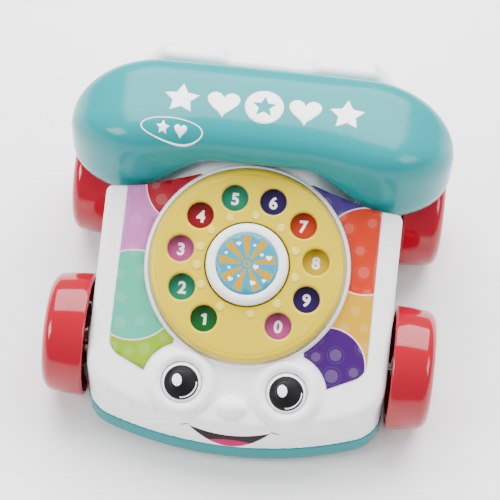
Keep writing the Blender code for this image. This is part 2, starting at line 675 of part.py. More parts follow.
def make_handset():
    upper = handset_blank("handset_upper_shell", 0, TEAL)
    cut(upper, handset_blank("upper_space", WALL), below_seam("upper_trim", 0))
    lower = handset_blank("handset_lower_cover", 0, TEAL)
    combine(lower, "INTERSECT", below_seam("lower_limit", GAP))
    cut(lower, handset_blank("lower_space", WALL))
    under = HANDSET_Z - HANDSET_HALF_HEIGHT
    for i, x in enumerate((-HANDSET_SCREW_X, HANDSET_SCREW_X)):
        place = dict(sides=12, at=(x, HANDSET_Y, 0))
        join(upper, cylinder(f"grip_post_{i}", 3.4, under + WALL + GAP, HANDSET_Z + HANDSET_HALF_HEIGHT - 1, **place))
        cut(upper, cylinder(f"grip_bore_{i}", 1.6, under, under + 14, **place))
        cut(lower, cylinder(f"grip_head_way_{i}", 2.9, under - 2, under + 1.6, **place))
        cut(lower, cylinder(f"grip_screw_way_{i}", 1.6, under - 2, under + 4, **place))
        screw(f"handset_screw_{i + 1}", (x, HANDSET_Y, under - 0.2), 13)
    for label, side in (("earpiece", -1), ("mouthpiece", 1)):
        x = side * MOUTH_X
        floor = HANDSET_Z - HANDSET_HALF_HEIGHT - CUP_DROP
        hole = cylinder(f"{label}_mouth", 8.6, floor - 5, floor + 6, sides=20, at=(x, HANDSET_Y, 0))
        cut(lower, hole)
        holes = [circle((4.9 * math.cos(a), 4.9 * math.sin(a)), 1.2, 8) for a in (math.pi / 3 * i for i in range(6))]
        grille = [circle((0, 0), 8.2, 20), *holes, circle((0, 0), 1.2, 8)]
        slab(f"{label}_grille", grille, floor + 0.4, floor + 1.9, GREY, at=(x, HANDSET_Y, 0))


# ---------------------------------------------------------------- the toy

clear_scene()
TOY = collection("toy_telephone")
CUTTERS = collection("cutters")
WHITE = material("white_plastic", (0.92, 0.92, 0.92))
TEAL = material("teal_plastic", (0.10, 0.52, 0.54), 0.25)
RED = material("red_plastic", (0.72, 0.02, 0.04), 0.15)
YELLOW = material("yellow_plastic", (0.94, 0.80, 0.02), 0.3)
LILAC = material("printed_film", (0.63, 0.32, 0.58), 0.4)
GREY = material("grey_plastic", (0.45, 0.46, 0.48), 0.5)
BLACK = material("black_plastic", (0.02, 0.02, 0.02), 0.4)
GREEN = material("board_green", (0.02, 0.22, 0.08), 0.4)
COPPER = material("battery_jacket", (0.55, 0.30, 0.12), 0.3, 0.6)
STEEL = material("steel", (0.60, 0.60, 0.62), 0.3, 1.0)
SHELL_ENVELOPE = body_blank("shell_envelope", 1.2, FLOOR_Z - 4)

make_body_shell()
make_base()
make_fasteners()
make_wheels()
make_eyes()
make_button(make_dial())
make_panels()
make_battery_box()
make_speaker()
make_power_switch()
make_handset()
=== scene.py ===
"""The looks of the pull-along toy telephone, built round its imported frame.

Shapes are worked out in millimetres on the frame's own axes: X to the right, Y to the back, Z up. MM turns
them into metres. Moulded pieces are distance fields that a surface net turns into smooth meshes, turned
pieces are lathed, and printed film is cut into coloured regions.
"""

import json
import math

import bpy
import numpy as np
from mathutils import Matrix, Vector
from mathutils.geometry import delaunay_2d_cdt


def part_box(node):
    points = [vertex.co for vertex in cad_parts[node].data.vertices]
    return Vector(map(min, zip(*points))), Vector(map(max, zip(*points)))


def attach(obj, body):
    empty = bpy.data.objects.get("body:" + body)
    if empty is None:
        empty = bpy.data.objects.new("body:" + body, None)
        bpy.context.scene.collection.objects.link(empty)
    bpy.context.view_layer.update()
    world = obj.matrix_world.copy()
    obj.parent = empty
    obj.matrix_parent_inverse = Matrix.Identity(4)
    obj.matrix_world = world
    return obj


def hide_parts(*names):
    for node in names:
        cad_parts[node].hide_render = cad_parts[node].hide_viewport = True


MM = 0.001
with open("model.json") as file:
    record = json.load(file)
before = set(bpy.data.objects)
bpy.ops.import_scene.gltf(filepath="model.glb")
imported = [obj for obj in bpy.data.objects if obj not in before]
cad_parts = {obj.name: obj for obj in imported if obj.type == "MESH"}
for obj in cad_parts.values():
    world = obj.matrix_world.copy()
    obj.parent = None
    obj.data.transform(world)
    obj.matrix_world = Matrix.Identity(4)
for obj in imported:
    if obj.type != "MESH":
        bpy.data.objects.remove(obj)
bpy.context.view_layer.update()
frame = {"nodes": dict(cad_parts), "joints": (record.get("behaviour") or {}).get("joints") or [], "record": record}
JOINTS = {joint["name"]: joint for joint in frame["joints"]}


def joint_place(name):
    return np.array(JOINTS[name]["pos_m"]) / MM


# The sloping face: S runs up it from the crease over the chin, H stands out of it
DIAL_AT = joint_place("dial_spin")
FACE_OUT = np.array(JOINTS["dial_spin"]["axis"])
FACE_UP = np.array([0.0, FACE_OUT[2], -FACE_OUT[1]])
DIAL_S = 82.0
CREASE = DIAL_AT - DIAL_S * FACE_UP
EYE_AT = joint_place("eye_roll")
EYE_X = 27.0
EYE_S = 18.8
EYE_RADIUS = 12.3
NOSE_S = 8.6

# Body in plan, the white shell's outer wall
ARC_CENTRE_Y = 97.0
ARC_RADIUS = 190.0
HALF_WIDTH = 77.8
FRONT_CORNER = 20.0
REAR_CORNER = 16.0
REAR_Y = 93.0
SHELL_INSET = 0.3
SEAM_Z = 18.0
FLOOR_Z = 10.0
SKIRT_Z = 6.6
WALL = 2.4
SADDLE_Z = 95.0
CRADLE_X = (34, 46, 54, 62, 78, 110)
CRADLE_FRONT = (23.5, 20.4, 18.0, 16.6, 15.4, 15.4)
TOWER_Y = 79.5
LOBE_Z = 121.0
NOTCH_Z = 116.5

# Handset
HANDSET_Y = 52.0
HANDSET_Z = 112.0
HANDSET_HALF_LENGTH = 101.2
HANDSET_HALF_WIDTH = 27.0
HANDSET_HALF_HEIGHT = 16.0
CUP_DROP = 27.5
CUP_FLARE = 8.0
CUP_SQUARENESS = 1.3
CUP_START = 22.0
CUP_END = 74.0
CAP_START = 52.0
SECTION_POWER = 2.7
MOUTH_X = 80.0
COVER_DEPTH = 7.0
HANDSET_SCREW_X = 23.0

# Dial: ten holes and one gap, spaced evenly
HOLE_CIRCLE = 35.4
HOLE_RADIUS = 6.9
HOLE_PLACES = 11
DIGITS = "1234567890"
DOT_CIRCLE = 25.7

# How far the prints stand out, from the face or from what they lie on
PANEL_H = 0.45
PLATE_H = 1.3
DIGIT_H = 1.42
HUB_PRINT_H = 10.42
FILM_GAP = 0.1
FILM_THICKNESS = 0.08

# Base
BOX_Y = 11.5
BOX_HALF_X = 29.0
BOX_HALF_Y = 27.0
CASE_POSTS = ((56, -66), (66, 12), (30, 77))
SPEAKER_Y = -66
SPEAKER_RINGS = ((0, 1), (6, 6), (11.5, 10))


# ---------------------------------------------------------------- numbers and curves


def smooth_max(a, b, k):
    """The larger of two distances, with a fillet where they cross."""
    h = np.maximum(k - np.abs(a - b), 0) / k
    return np.maximum(a, b) + h * h * k / 4


def smooth_min(a, b, k):
    return -smooth_max(-a, -b, k)


def round_max(a, b, r):
    """The overlap of two solids, its outer corner rounded to radius r."""
    outside = np.hypot(np.maximum(a + r, 0), np.maximum(b + r, 0))
    return np.minimum(np.maximum(a, b), -r) + outside


def ramp(t):
    t = np.clip(t, 0, 1)
    return t * t * (3 - 2 * t)


def arc(centre, radius, start, end, steps):
    angles = np.radians(np.linspace(start, end, steps + 1))
    return np.stack([centre[0] + radius * np.cos(angles), centre[1] + radius * np.sin(angles)], 1)


def circle(centre, radius, steps=48):
    return arc(centre, radius, 0, 360, steps)[:-1]


def oval(centre, half, tilt=0.0, steps=40):
    loop = circle((0, 0), 1.0, steps) * half
    a = math.radians(tilt)
    x = loop[:, 0] * math.cos(a) - loop[:, 1] * math.sin(a)
    y = loop[:, 0] * math.sin(a) + loop[:, 1] * math.cos(a)
    return np.stack([x, y], 1) + centre


def face_point(x, s, h):
    """Points on the frame's axes from face coordinates."""
    x = np.asarray(x, float)
    y = CREASE[1] + s * FACE_UP[1] + h * FACE_OUT[1]
    z = CREASE[2] + s * FACE_UP[2] + h * FACE_OUT[2]
    return np.stack([x, y + 0 * x, z + 0 * x], -1)


def face_coordinates(y, z):
    """S and H of a point's Y and Z."""
    dy, dz = y - CREASE[1], z - CREASE[2]
    return dy * FACE_UP[1] + dz * FACE_UP[2], dy * FACE_OUT[1] + dz * FACE_OUT[2]


# ---------------------------------------------------------------- meshes


def piece(name, points, faces, materials, body, replaced=(), indices=None, sharp=40):
    """A mesh piece from points in millimetres, riding on a body of the frame."""
    data = bpy.data.meshes.new(name)
    data.from_pydata((np.asarray(points) * MM).tolist(), [], [list(map(int, f)) for f in faces])
    for made in materials:
        data.materials.append(made)
    if indices is not None:
        data.polygons.foreach_set("material_index", np.asarray(indices, np.int32))
    data.validate()
    data.shade_smooth()
    data.set_sharp_from_angle(angle=math.radians(sharp))
    made = bpy.data.objects.new(name, data)
    bpy.context.scene.collection.objects.link(made)
    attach(made, body)
    if replaced:
        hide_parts(*replaced)
    return made


def surface_net(field, low, high, step):
    """A closed quad mesh of the surface where field is zero. Negative is inside."""
    low = np.array(low, float)
    axes = [np.arange(a, b + step, step) for a, b in zip(low, high)]
    values = field(*np.meshgrid(*axes, indexing="ij"))
    inside = values < 0
    shape = tuple(n - 1 for n in inside.shape)
    corners = [(i, j, k) for i in (0, 1) for j in (0, 1) for k in (0, 1)]
    count = sum(
        inside[i : i + shape[0], j : j + shape[1], k : k + shape[2]].astype(np.int8)
        for i, j, k in corners
    )
    active = (count > 0) & (count < 8)
    cells = np.argwhere(active)
    index = np.full(shape, -1)
    index[active] = np.arange(len(cells))
    total = np.zeros((len(cells), 3))
    hits = np.zeros(len(cells))
    faces = []
    for axis in range(3):
        along = np.eye(3, dtype=int)[axis]
        b, c = np.eye(3, dtype=int)[[(axis + 1) % 3, (axis + 2) % 3]]
        for offset in (0 * b, b, c, b + c):
            start = cells + offset
            end = start + along
            v0, v1 = values[tuple(start.T)], values[tuple(end.T)]
            crosses = (v0 < 0) != (v1 < 0)
            t = np.where(crosses, v0 / np.where(crosses, v0 - v1, 1), 0)
            total += np.where(crosses[:, None], start + t[:, None] * along, 0)
            hits += crosses
        first = np.take(inside, range(inside.shape[axis] - 1), axis)
        second = np.take(inside, range(1, inside.shape[axis]), axis)
        edges = np.argwhere(first != second)
        others = [(axis + 1) % 3, (axis + 2) % 3]
        kept = np.all([(edges[:, o] > 0) & (edges[:, o] < inside.shape[o] - 1) for o in others], 0)
        edges = edges[kept]
        quad = np.stack([index[tuple((edges - d).T)] for d in (b + c, c, 0 * b, b)], 1)
        flip = first[tuple(edges.T)]
        quad[~flip] = quad[~flip][:, ::-1]
        faces.append(quad)
    points = low + step * total / hits[:, None]
    return settle(points, field, step), np.concatenate(faces)


def settle(points, field, step):
    """Moves points along the field's slope on to its surface."""
    reach = 0.04
    for _ in range(5):
        value = field(*points.T)
        rise = [field(*(points + d).T) - field(*(points - d).T) for d in np.eye(3) * reach]
        slope = np.stack(rise, 1) / (2 * reach)
        move = -value[:, None] * slope / np.maximum((slope**2).sum(1), 0.2)[:, None]
        size = np.linalg.norm(move, axis=1, keepdims=True)
        points = points + move * np.minimum(1, 0.35 * step / np.maximum(size, 1e-9))
    return points


def lathe(profile, steps=128):
    """Points and faces of a turned solid about local Z.

    Profile points are (radius, z). Ends on the axis close it, and so does an end that meets the start.
    """
    profile = np.array(profile, float)
    angles = np.linspace(0, 2 * math.pi, steps, endpoint=False)
    points = []
    rings = []
    for r, z in profile:
        if r < 1e-6:
            rings.append([len(points)] * steps)
            points.append((0, 0, z))
        else:
            rings.append(list(range(len(points), len(points) + steps)))
            points.extend((r * math.cos(a), r * math.sin(a), z) for a in angles)
    faces = []
    if np.allclose(profile[0], profile[-1]):
        rings[-1] = rings[0]
    for lower, upper in zip(rings, rings[1:]):
        for i in range(steps):
            j = (i + 1) % steps
            face = [lower[i], upper[i], upper[j], lower[j]]
            faces.append([v for n, v in enumerate(face) if v not in face[:n]])
    return np.array(points), faces


def eased(corners, steps=5):
    """A profile whose corners are rounded. Each corner is (radius, z, rounding)."""
    line = []
    for i, (r, z, rounding) in enumerate(corners):
        here = np.array([r, z], float)
        if rounding <= 0 or i in (0, len(corners) - 1):
            line.append(here)
            continue
        before = np.array(corners[i - 1][:2], float) - here
        after = np.array(corners[i + 1][:2], float) - here
        reach = min(rounding, 0.45 * np.linalg.norm(before), 0.45 * np.linalg.norm(after))
        start = here + before / np.linalg.norm(before) * reach
        end = here + after / np.linalg.norm(after) * reach
        for t in np.linspace(0, 1, steps):
            line.append((1 - t) ** 2 * start + 2 * t * (1 - t) * here + t * t * end)
    return line


def contains(loop, points):
    """Which points lie inside a closed loop."""
    x, y = points[:, 0], points[:, 1]
    within = np.zeros(len(points), bool)
    for (x0, y0), (x1, y1) in zip(loop, np.roll(loop, -1, 0)):
        if y0 == y1:
            continue
        crosses = ((y0 > y) != (y1 > y)) & (x < (x1 - x0) * (y - y0) / (y1 - y0) + x0)
        within ^= crosses
    return within


def film(name, outline, marks, inks, place, body, replaced=(), spacing=4.0, base=0, holes=()):
    """A printed film, cut to its outline and set in place by place(u, v).

    Marks are painted in order, each a loop and the number of its ink, or a function from old ink to new.
    """
    outline = np.array(outline, float)
    low, high = outline.min(0), outline.max(0)
    axes = [np.arange(a, b, spacing) for a, b in zip(low, high)]
    grid = np.stack(np.meshgrid(*axes), -1).reshape(-1, 2)
    grid = grid + np.random.default_rng(7).uniform(-0.1, 0.1, grid.shape) * spacing
    grid = grid[contains(outline, grid)]
    points = [Vector(p) for p in grid]
    edges = []
    for loop in [outline, *holes, *[loop for loop, _ in marks]]:
        first = len(points)
        points.extend(Vector(p) for p in loop)
        edges.extend((first + i, first + (i + 1) % len(loop)) for i in range(len(loop)))
    flat, _, triangles, *_ = delaunay_2d_cdt(points, edges, [], 0, 1e-4)
    flat = np.array([tuple(p) for p in flat])
    triangles = np.array(triangles)
    middles = flat[triangles].mean(1)
    kept = contains(outline, middles)
    for hole in holes:
        kept &= ~contains(np.array(hole), middles)
    triangles, middles = triangles[kept], middles[kept]
    ink = np.full(len(triangles), base)
    for loop, colour in marks:
        loop = np.array(loop)
        near = np.all((middles >= loop.min(0)) & (middles <= loop.max(0)), 1)
        hit = np.flatnonzero(near)
        hit = hit[contains(loop, middles[hit])]
        ink[hit] = [colour(value) for value in ink[hit]] if callable(colour) else colour
    used, triangles = np.unique(triangles, return_inverse=True)
    flat, triangles = flat[used], triangles.reshape(-1, 3)
    surface = place(flat[:, 0], flat[:, 1])
    made = piece(name, surface, triangles, inks, body, replaced, ink)
    sheet = made.modifiers.new("film thickness", "SOLIDIFY")
    sheet.thickness = FILM_THICKNESS * MM
    sheet.offset = -1.0
    return made


# ---------------------------------------------------------------- materials


def start_material(name):
    """A new material, its shader, and a socket with places in the object's own space."""
    made = bpy.data.materials.new(name)
    made.use_nodes = True
    where = made.node_tree.nodes.new("ShaderNodeTexCoord")
    return made, made.node_tree.nodes["Principled BSDF"], where.outputs["Object"]


def noise(tree, where, scale, detail=2.0):
    texture = tree.nodes.new("ShaderNodeTexNoise")
    texture.inputs["Scale"].default_value = scale
    texture.inputs["Detail"].default_value = detail
    tree.links.new(where, texture.inputs["Vector"])
    return texture.outputs["Fac"]


def two_tones(tree, shader, amount, dark, light, ends=(0.0, 1.0)):
    """The shader's colour, from dark to light as amount goes from one end to the other."""
    tone = tree.nodes.new("ShaderNodeValToRGB")
    for element, position, colour in zip(tone.color_ramp.elements, ends, (dark, light)):
        element.position = position
        element.color = (*colour, 1)
    tree.links.new(amount, tone.inputs["Fac"])
    tree.links.new(tone.outputs["Color"], shader.inputs["Base Color"])


def uneven_gloss(tree, shader, amount, low, high):
    """The shader's roughness, from low to high with amount."""
    gloss = tree.nodes.new("ShaderNodeMapRange")
    gloss.inputs["To Min"].default_value = low
    gloss.inputs["To Max"].default_value = high
    tree.links.new(amount, gloss.inputs["Value"])
    tree.links.new(gloss.outputs["Result"], shader.inputs["Roughness"])


def plastic(name, colour, roughness=0.3, variation=0.03, grain=0.02, shine=0.4):
    """Moulded or printed plastic: cloudy colour, uneven gloss and a faint moulded texture."""
    made, shader, where = start_material(name)
    tree = made.node_tree
    dark = [c * (1 - variation) for c in colour]
    light = [min(1, c * (1 + variation)) for c in colour]
    two_tones(tree, shader, noise(tree, where, 26.0, 3.0), dark, light, (0.3, 0.7))
    smoothest = max(0.02, roughness - 0.05)
    uneven_gloss(tree, shader, noise(tree, where, 90.0, 5.0), smoothest, roughness + 0.05)
    bump = tree.nodes.new("ShaderNodeBump")
    bump.inputs["Strength"].default_value = grain
    bump.inputs["Distance"].default_value = 0.0003
    tree.links.new(noise(tree, where, 900.0), bump.inputs["Height"])
    tree.links.new(bump.outputs["Normal"], shader.inputs["Normal"])
    shader.inputs["Specular IOR Level"].default_value = shine
    shader.inputs["IOR"].default_value = 1.5
    return made


def metal(name, colour, roughness=0.25):
    """Drawn metal: fine lines in its tone and its gloss."""
    made, shader, where = start_material(name)
    tree = made.node_tree
    stretch = tree.nodes.new("ShaderNodeMapping")
    stretch.inputs["Scale"].default_value = (1, 60, 60)
    tree.links.new(where, stretch.inputs["Vector"])
    lines = noise(tree, stretch.outputs["Vector"], 60.0)
    two_tones(tree, shader, lines, [c * 0.85 for c in colour], colour)
    uneven_gloss(tree, shader, lines, roughness, roughness + 0.15)
    shader.inputs["Metallic"].default_value = 1.0
    return made


def tinted(colour, share):
    return tuple(c + (1 - c) * share for c in colour)


WHITE = plastic("body_white", (0.9, 0.9, 0.92), 0.34, 0.012)
EYE_WHITE = plastic("eye_white", (0.9, 0.9, 0.92), 0.25, 0.01)
TEAL = plastic("handset_teal", (0.004, 0.22, 0.235), 0.18, 0.02, shine=0.22)
RED = plastic("wheel_red", (0.33, 0.001, 0.014), 0.1, 0.03, grain=0.01)
YELLOW = plastic("dial_yellow", (0.60, 0.44, 0.002), 0.3, 0.015)
GREY = plastic("works_grey", (0.3, 0.3, 0.32), 0.5, 0.04, grain=0.05)
BLACK = plastic("works_black", (0.011, 0.011, 0.013), 0.45, 0.1, grain=0.05)
BOARD = plastic("board_green", (0.007, 0.11, 0.038), 0.4, 0.08, grain=0.05)
JACKET = plastic("cell_jacket", (0.5, 0.19, 0.045), 0.3, 0.05, grain=0.01)
STEEL = metal("axle_steel", (0.6, 0.6, 0.62))
PRINT_WHITE = plastic("print_white", (0.93, 0.93, 0.94), 0.4, 0.01)

REGIONS = {
    "lilac": (0.44, 0.13, 0.37),
    "red": (0.27, 0.001, 0.012),
    "mint": (0.05, 0.36, 0.24),
    "green": (0.19, 0.34, 0.001),
    "indigo": (0.044, 0.019, 0.157),
    "orange": (0.46, 0.022, 0.001),
    "yellow": (0.52, 0.28, 0.001),
    "purple": (0.037, 0.001, 0.096),
    "line": (0.75, 0.5, 0.7),
}
SPOTS = {
    "1": (0.001, 0.095, 0.016),
    "2": (0.004, 0.177, 0.105),
    "3": (0.36, 0.05, 0.22),
    "4": (0.21, 0.001, 0.006),
    "5": (0.004, 0.177, 0.105),
    "6": (0.014, 0.001, 0.084),
    "7": (0.38, 0.026, 0.001),
    "8": (0.5, 0.33, 0.001),
    "9": (0.014, 0.001, 0.084),
    "0": (0.36, 0.05, 0.22),
}


def dress_frame():
    """Materials for the CAD nodes that stay in view or inside."""
    looks = {
        "steel": STEEL,
        "grey_plastic": GREY,
        "black_plastic": BLACK,
        "board_green": BOARD,
        "battery_jacket": JACKET,
        "teal_plastic": TEAL,
        "white_plastic": WHITE,
        "red_plastic": RED,
        "yellow_plastic": YELLOW,
        "printed_film": PRINT_WHITE,
    }
    slots = {part["node"]: part["material_slot"] for part in frame["record"]["subparts"]}
    for node, item in frame["nodes"].items():
        for place in item.material_slots:
            place.link = "OBJECT"
            place.material = looks[slots[node]]


# ---------------------------------------------------------------- body


def plan_distance(x, y, inset):
    """Distance outside the body's plan, negative inside."""
    x = np.abs(x)
    across = HALF_WIDTH - FRONT_CORNER
    reach = ARC_RADIUS - FRONT_CORNER
    corner_y = ARC_CENTRE_Y - math.sqrt(reach**2 - across**2)
    sides = np.maximum(x - HALF_WIDTH, np.hypot(x, y - ARC_CENTRE_Y) - ARC_RADIUS)
    dx, dy = x - across, y - corner_y
    in_corner = (dx > 0) & (dy < 0) & (dx * (ARC_CENTRE_Y - corner_y) > -dy * across)
    plan = np.where(in_corner, np.hypot(dx, dy) - FRONT_CORNER, sides)
    return round_max(plan, y - REAR_Y, REAR_CORNER) + inset


def cup_drop(x):
    return CUP_DROP * ramp((np.abs(x) - CUP_START) / (CUP_END - CUP_START))


def lobe_top(x):
    x = np.abs(x)
    inner = NOTCH_Z + (LOBE_Z - NOTCH_Z) * ramp((x - 20) / 7)
    outer = LOBE_Z - 1.4 * np.maximum(x - 55, 0)
    return smooth_min(inner, outer, 7)


def body_solid(x, y, z):
    """The body without its hollow: wedge, cradle, raised back, sockets, nose and the dial's rim."""
    s, h = face_coordinates(y, z)
    plan = plan_distance(x, y, SHELL_INSET)
    wedge = round_max(plan, smooth_max(h, z - SADDLE_Z, 4), 3.6)
    front = (np.interp(np.abs(x), CRADLE_X, CRADLE_FRONT) - y) * 0.97
    across = np.maximum(front, y - TOWER_Y)
    bed = (SADDLE_Z - cup_drop(x) - z) / np.sqrt(1 + (0.4 * ramp((np.abs(x) - 30) / 12)) ** 2)
    wedge = smooth_max(wedge, -round_max(across, bed, 4.0), 2.2)
    steepness = 0.85 - 0.25 * ramp((np.abs(x) - 50) / 8)
    tower = round_max(plan, (z - lobe_top(x)) * steepness, 5.0)
    tower = round_max(tower, TOWER_Y + 0.3 - y, 4.0)
    body = smooth_min(wedge, tower, 3.0)
    from_eye = np.hypot(np.abs(x) - EYE_X, s - EYE_S)
    socket = np.hypot(from_eye - 13.7, h - 0.5) - 3.5
    body = smooth_min(body, socket, 2.0)
    nose = np.sqrt((x / 7.4) ** 2 + ((s - NOSE_S) / 5.2) ** 2 + (h / 5.2) ** 2)
    return smooth_min(body, (nose - 1) * 5.0, 1.2)


def body_shell(x, y, z):
    solid = body_solid(x, y, z)
    s, h = face_coordinates(y, z)
    shell = smooth_max(solid, -(solid + WALL), 0.3)
    shell = smooth_max(shell, SEAM_Z + 0.3 - z, 0.5)
    ball = np.sqrt((np.abs(x) - EYE_X) ** 2 + (y - EYE_AT[1]) ** 2 + (z - EYE_AT[2]) ** 2)
    shell = smooth_max(shell, EYE_RADIUS + 0.45 - ball, 0.8)
    sleeve = np.maximum(np.hypot(x, s - DIAL_S) - 11.6, np.abs(h) - 9)
    shell = np.maximum(shell, -sleeve)
    for joint in ("front_axle_spin", "rear_axle_spin"):
        _, axle_y, axle_z = joint_place(joint)
        slot = np.where(z < axle_z, np.abs(y - axle_y), np.hypot(y - axle_y, z - axle_z)) - 3.2
        shell = np.maximum(shell, -np.maximum(slot, 60 - np.abs(x)))
    return shell


def thin_inside(made, is_inner, ratio):
    """Takes faces away from the hollow side of a shell, which nobody sees."""
    group = made.vertex_groups.new(name="inner")
    group.add(np.flatnonzero(is_inner).tolist(), 1.0, "REPLACE")
    step = made.modifiers.new("fewer inner faces", "DECIMATE")
    step.ratio = ratio
    step.vertex_group = group.name


def make_kerb():
    """The thin raised ring that the dial turns in."""
    ring = eased(
        [(51.3, -2, 0), (51.3, 1.3, 0.3), (52.2, 1.4, 0.4), (52.9, 0.6, 0.4), (52.9, -2, 0)]
    ) + [(51.3, -2)]
    points, faces = lathe(ring, 160)
    placed = face_point(points[:, 0], DIAL_S + points[:, 1], points[:, 2])
    piece("dial_kerb", placed, faces, [WHITE], "chassis")


def make_body():
    low = (-80, -95, SEAM_Z - 2)
    high = (80, 95, LOBE_Z + 3)
    points, faces = surface_net(body_shell, low, high, 1.15)
    made = piece(
        "shell_moulding", points, faces, [WHITE], "chassis", ("body_shell",), sharp=50
    )
    thin_inside(made, body_solid(*points.T) < -1.2, 0.6)


# ---------------------------------------------------------------- base


def battery_walls(x, y, z):
    across = np.maximum(np.abs(x) - BOX_HALF_X - 2, np.abs(y - BOX_Y) - BOX_HALF_Y - 2)
    return np.maximum(across, np.abs(z - 21) - 10.0)


def with_bearings(tray, joint, x, y, z):
    """Adds the two blocks that hold an axle, and the axle's bore."""
    _, axle_y, axle_z = joint_place(joint)
    block = np.maximum(np.abs(np.abs(x) - 64) - 3.5, np.abs(y - axle_y) - 7.5)
    tray = np.minimum(tray, np.maximum(block, np.maximum(z - axle_z, 11 - z)))
    return np.maximum(tray, 2.35 - np.hypot(y - axle_y, z - axle_z))


def with_battery_space(tray, x, y, z):
    """Clears the battery box, then adds the boss and the bore for its door's screw."""
    space = np.maximum(np.maximum(np.abs(x) - BOX_HALF_X, np.abs(y - BOX_Y) - BOX_HALF_Y), z - 29)
    tray = smooth_max(tray, -space, 0.4)
    boss = np.maximum(np.maximum(np.abs(x) - 4, np.abs(y - 35) - 4.25), np.abs(z - 17.5) - 5)
    tray = np.minimum(tray, boss)
    return np.maximum(tray, -np.maximum(np.hypot(x, y - 34.5) - 1.6, z - 19))


def with_posts(tray, place, x, y, z):
    """Adds a post for a case screw on either side, with its bore and a sink for the head."""
    away = np.hypot(np.abs(x) - place[0], y - place[1])
    tray = np.minimum(tray, np.maximum(away - 4.2, np.abs(z - 15.8) - 4.9))
    tray = smooth_max(tray, 1.9 - away, 0.4)
    return smooth_max(tray, -np.maximum(away - 3.3, z - 14), 0.5)


def with_openings(tray, x, y, z):
    """Cuts the holes below the speaker and the slot of the power switch."""
    for ring, count in SPEAKER_RINGS:
        for i in range(count):
            a = 2 * math.pi * i / count
            away = np.hypot(x - ring * math.cos(a), y - SPEAKER_Y - ring * math.sin(a))
            tray = smooth_max(tray, -np.maximum(away - 1.6, z - 15), 0.5)
    slot = np.maximum(np.maximum(np.abs(x - 46) - 3.6, np.abs(y - 10) - 6.4), z - 15)
    return smooth_max(tray, -slot, 0.6)


def base_tray(x, y, z):
    """The base pan: rounded tray with a lip, a battery box, bearings, posts and openings."""
    plan = plan_distance(x, y, 0.0)
    outside = round_max(plan, SKIRT_Z - z, 1.6)
    outside = smooth_max(outside, -np.maximum(plan + 3.2, z - FLOOR_Z), 0.6)
    outside = round_max(outside, z - SEAM_Z, 0.7)
    hollow = np.maximum(plan + 4.0, FLOOR_Z + WALL - z)
    tray = smooth_max(outside, -hollow, 0.6)
    lip = np.maximum(np.abs(plan + 4.3) - 0.8, np.abs(z - SEAM_Z) - 3.0)
    tray = np.minimum(np.minimum(tray, lip), battery_walls(x, y, z))
    for joint in ("front_axle_spin", "rear_axle_spin"):
        tray = with_bearings(tray, joint, x, y, z)
    tray = with_battery_space(tray, x, y, z)
    for place in CASE_POSTS:
        tray = with_posts(tray, place, x, y, z)
    return with_openings(tray, x, y, z)


def make_base():
    points, faces = surface_net(base_tray, (-80, -95, 5), (80, 95, 34), 1.0)
    made = piece(
        "base_moulding", points, faces, [TEAL], "chassis", ("base_pan",), sharp=50
    )
    inner = (points[:, 2] > FLOOR_Z + 1) & (plan_distance(points[:, 0], points[:, 1], 0) < -1.5)
    thin_inside(made, inner, 0.55)


# ---------------------------------------------------------------- handset


def cap_share(x, inset, power):
    """How much of the handset's section is left at X, as its end rounds off."""
    t = np.clip((np.abs(x) - CAP_START) / (HANDSET_HALF_LENGTH - inset - CAP_START), 0, 1)
    return (1 - t**power) ** (1 / power)


def handset_section(x, inset=0.0):
    """Middle and half size of the handset's section at X, in Y and in Z, and how square it is."""
    cup = cup_drop(x) / CUP_DROP
    middle = -6.0 - 0.5 * cup_drop(x)
    share = np.maximum(cap_share(x, inset, 2.0), 0.02)
    under = np.maximum(cap_share(x, inset, 6.0), 0.02)
    high = middle + (HANDSET_HALF_HEIGHT - inset - middle) * share
    low = middle + (-HANDSET_HALF_HEIGHT - cup_drop(x) + inset - middle) * under
    flare = CUP_FLARE * cup * share
    wide = (HANDSET_HALF_WIDTH - inset) * share + flare / 2
    power = SECTION_POWER + CUP_SQUARENESS * cup
    return HANDSET_Y - flare / 2, wide, HANDSET_Z + (high + low) / 2, (high - low) / 2, power


def handset_field(x, y, z, inset=0.0):
    """The handset's outer surface, roughly in millimetres: rounded bar with a cup dropping at each end."""
    middle_y, wide, middle_z, half, power = handset_section(x, inset)
    across = np.abs(y - middle_y) / wide
    up = np.abs(z - middle_z) / half
    size = (across**power + up**power) ** (1 / power)
    beyond = np.abs(x) - (HANDSET_HALF_LENGTH - inset)
    return np.maximum((size - 1) * np.minimum(wide, half), beyond)


def cover_seam(x, z):
    """How far a point is above the seam between the handset's two shells."""
    seam = HANDSET_Z - HANDSET_HALF_HEIGHT + COVER_DEPTH - cup_drop(x)
    slope = 0.7 * ramp((np.abs(x) - 28) / 8) * ramp((70 - np.abs(x)) / 8)
    return (z - seam) / np.sqrt(1 + slope**2)


def hollow_handset(x, y, z):
    outside = handset_field(x, y, z)
    return np.maximum(outside, -handset_field(x, y, z, WALL))


def upper_shell(x, y, z):
    shell = smooth_max(hollow_handset(x, y, z), 0.12 - cover_seam(x, z), 0.7)
    screw = np.hypot(np.abs(x) - HANDSET_SCREW_X, y - HANDSET_Y)
    post = np.maximum(screw - 3.4, np.maximum(98.7 - z, z - 126.5))
    shell = np.minimum(shell, post)
    return np.maximum(shell, -np.maximum(screw - 1.6, z - 110))


def lower_cover(x, y, z):
    cover = smooth_max(hollow_handset(x, y, z), cover_seam(x, z) + 0.12, 0.7)
    mouth = np.hypot(np.abs(x) - MOUTH_X, y - HANDSET_Y)
    cover = smooth_max(cover, 8.6 - mouth, 0.8)
    screw = np.hypot(np.abs(x) - HANDSET_SCREW_X, y - HANDSET_Y)
    cover = np.maximum(cover, -np.maximum(screw - 2.9, z - 97.6))
    return np.maximum(cover, 1.6 - screw)


